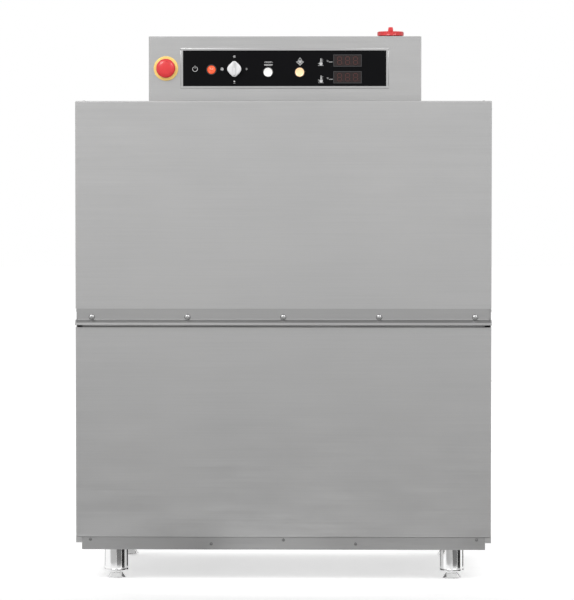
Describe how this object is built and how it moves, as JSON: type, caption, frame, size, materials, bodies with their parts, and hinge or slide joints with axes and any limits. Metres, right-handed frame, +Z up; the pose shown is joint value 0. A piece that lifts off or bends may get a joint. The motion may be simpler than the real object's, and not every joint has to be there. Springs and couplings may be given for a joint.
{
  "type": "commercial dishwasher",
  "caption": "Compact rack-conveyor dishwasher: a steel tunnel cabinet on legs with a lift-up front door, strip curtains, a reciprocating track and a control box on top.",
  "frame": {"origin": "on the floor under the middle of the cabinet", "axes": "+Z up, the door and control panel face -Y, +X to the right as seen from the front, which is the way the racks travel"},
  "size_m": [1.15, 0.8054, 1.5384],
  "materials": {
    "steel_frame": "welded stainless steel with a dull brushed finish",
    "steel_skin": "brushed stainless sheet with a fine even grain",
    "steel_door": "brushed stainless sheet with a fine even grain",
    "steel_inner": "plain mill-finish stainless sheet",
    "steel_pipe": "polished stainless tube",
    "leg_steel": "polished stainless tube",
    "fasteners": "polished stainless screw heads",
    "black_plastic": "moulded black plastic",
    "grey_plastic": "moulded grey plastic",
    "panel_black": "black film with a satin gloss",
    "display": "smoked display window",
    "white_plastic": "glossy white button cap",
    "amber_plastic": "translucent amber button cap",
    "lamp_orange": "faceted orange lens",
    "knob_grey": "light grey moulded knob",
    "stop_red": "glossy red plastic",
    "stop_yellow": "glossy yellow plastic",
    "curtain_pvc": "flexible dark PVC strip",
    "motor_paint": "painted motor casing",
    "gear_paint": "painted gearbox casing",
    "brass_fitting": "machined brass",
    "spring_steel": "drawn spring wire",
    "heater_alloy": "heat-tinted alloy sheath",
    "switchgear": "moulded light grey switchgear"
  },
  "bodies": {
    "cabinet": {"base_frame": "steel_frame", "button_bezels": "black_plastic", "cable_gland": "black_plastic", "control_box": "steel_skin", "control_gear": "switchgear", "control_overlay": "panel_black", "curtain_rods": "steel_pipe", "door_springs": "spring_steel", "drain_pipe": "grey_plastic", "estop_ring": "stop_yellow", "front_guides": "steel_frame", "front_skirt": "steel_skin", "gearmotor": "gear_paint", "hood_top": "steel_skin", "inlet_valve": "brass_fitting", "isolator_base": "black_plastic", "leg_tubes": "leg_steel", "lower_front_panel": "steel_skin", "pilot_lamp": "lamp_orange", "pump_motor": "motor_paint", "pump_pipes": "steel_pipe", "rack_rails": "steel_inner", "rear_panel": "steel_skin", "rear_posts": "steel_frame", "rinse_boiler": "steel_inner", "rinse_pipes": "steel_pipe", "side_panel_left": "steel_skin", "side_panel_right": "steel_skin", "skirt_screws": "fasteners", "tank_filter": "steel_inner", "tank_heater": "heater_alloy", "temperature_displays": "display", "wash_arm_caps": "grey_plastic", "wash_arms_lower": "steel_pipe", "wash_arms_upper": "steel_pipe", "wash_chamber": "steel_inner", "wash_pump": "steel_frame", "wash_tank": "steel_inner"},
    "door": {"door_outer_panel": "steel_door", "door_inner_panel": "steel_inner", "door_handle_strip": "steel_door", "door_handle_screws": "fasteners", "door_slide_blocks": "black_plastic"},
    "foot_front_left": {"foot_front_left": "leg_steel"},
    "foot_front_right": {"foot_front_right": "leg_steel"},
    "foot_rear_left": {"foot_rear_left": "leg_steel"},
    "foot_rear_right": {"foot_rear_right": "leg_steel"},
    "push_bar": {"push_bar": "steel_inner"},
    "pawl_1": {"pawl_1": "steel_pipe"},
    "pawl_2": {"pawl_2": "steel_pipe"},
    "crank": {"crank_arm": "steel_pipe"},
    "selector": {"selector_knob": "knob_grey"},
    "start_button": {"start_button": "white_plastic"},
    "heat_button": {"heat_button": "amber_plastic"},
    "estop": {"estop_button": "stop_red"},
    "isolator": {"isolator_knob": "stop_red"},
    "overflow": {"overflow_pipe": "steel_pipe"},
    "curtain_left": {"curtain_left": "curtain_pvc"},
    "curtain_right": {"curtain_right": "curtain_pvc"},
    "impeller": {"pump_impeller": "steel_pipe"}
  },
  "joints": [
    {"name": "door_lift", "type": "slide", "parent": "cabinet", "child": "door", "axis": [0, 0, 1], "range_m": [0, 0.4], "deforming": ["door_springs"]},
    {"name": "foot_front_left_screw", "type": "slide", "parent": "cabinet", "child": "foot_front_left", "axis": [0, 0, 1], "range_m": [-0.025, 0.003]},
    {"name": "foot_front_right_screw", "type": "slide", "parent": "cabinet", "child": "foot_front_right", "axis": [0, 0, 1], "range_m": [-0.025, 0.003]},
    {"name": "foot_rear_left_screw", "type": "slide", "parent": "cabinet", "child": "foot_rear_left", "axis": [0, 0, 1], "range_m": [-0.025, 0.003]},
    {"name": "foot_rear_right_screw", "type": "slide", "parent": "cabinet", "child": "foot_rear_right", "axis": [0, 0, 1], "range_m": [-0.025, 0.003]},
    {"name": "conveyor_stroke", "type": "slide", "parent": "cabinet", "child": "push_bar", "axis": [1, 0, 0], "range_m": [-0.07, 0.07]},
    {"name": "pawl_1_fold", "type": "hinge", "parent": "push_bar", "child": "pawl_1", "pos_m": [-0.12, 0.012, 0.8205], "axis": [0, 1, 0], "range_deg": [0, 70], "stiffness_Nm_per_rad": 0.05, "springref_deg": -11.46},
    {"name": "pawl_2_fold", "type": "hinge", "parent": "push_bar", "child": "pawl_2", "pos_m": [0.12, 0.012, 0.8205], "axis": [0, 1, 0], "range_deg": [0, 70], "stiffness_Nm_per_rad": 0.05, "springref_deg": -11.46},
    {"name": "crank_turn", "type": "hinge", "parent": "cabinet", "child": "crank", "pos_m": [0, 0.3, 0.905], "axis": [0, 1, 0], "continuous": true},
    {"name": "selector_turn", "type": "hinge", "parent": "cabinet", "child": "selector", "pos_m": [-0.1377, -0.31, 1.421], "axis": [0, -1, 0], "range_deg": [-270, 0]},
    {"name": "start_press", "type": "slide", "parent": "cabinet", "child": "start_button", "axis": [0, 1, 0], "range_m": [0, 0.003], "stiffness_N_per_m": 1500, "springref_m": -0.001},
    {"name": "heat_press", "type": "slide", "parent": "cabinet", "child": "heat_button", "axis": [0, 1, 0], "range_m": [0, 0.003], "stiffness_N_per_m": 1500, "springref_m": -0.001},
    {"name": "estop_press", "type": "slide", "parent": "cabinet", "child": "estop", "axis": [0, 1, 0], "range_m": [0, 0.005]},
    {"name": "isolator_turn", "type": "hinge", "parent": "cabinet", "child": "isolator", "pos_m": [0.297, -0.235, 1.52], "axis": [0, 0, 1], "range_deg": [0, 90]},
    {"name": "overflow_lift", "type": "slide", "parent": "cabinet", "child": "overflow", "axis": [0, 0, 1], "range_m": [0, 0.058]},
    {"name": "curtain_left_swing", "type": "hinge", "parent": "cabinet", "child": "curtain_left", "pos_m": [-0.55, 0, 1.268], "axis": [0, 1, 0], "range_deg": [-35, 35]},
    {"name": "curtain_right_swing", "type": "hinge", "parent": "cabinet", "child": "curtain_right", "pos_m": [0.55, 0, 1.268], "axis": [0, 1, 0], "range_deg": [-35, 35]},
    {"name": "impeller_turn", "type": "hinge", "parent": "cabinet", "child": "impeller", "pos_m": [-0.19, 0, 0.33], "axis": [1, 0, 0], "continuous": true}
  ]
}
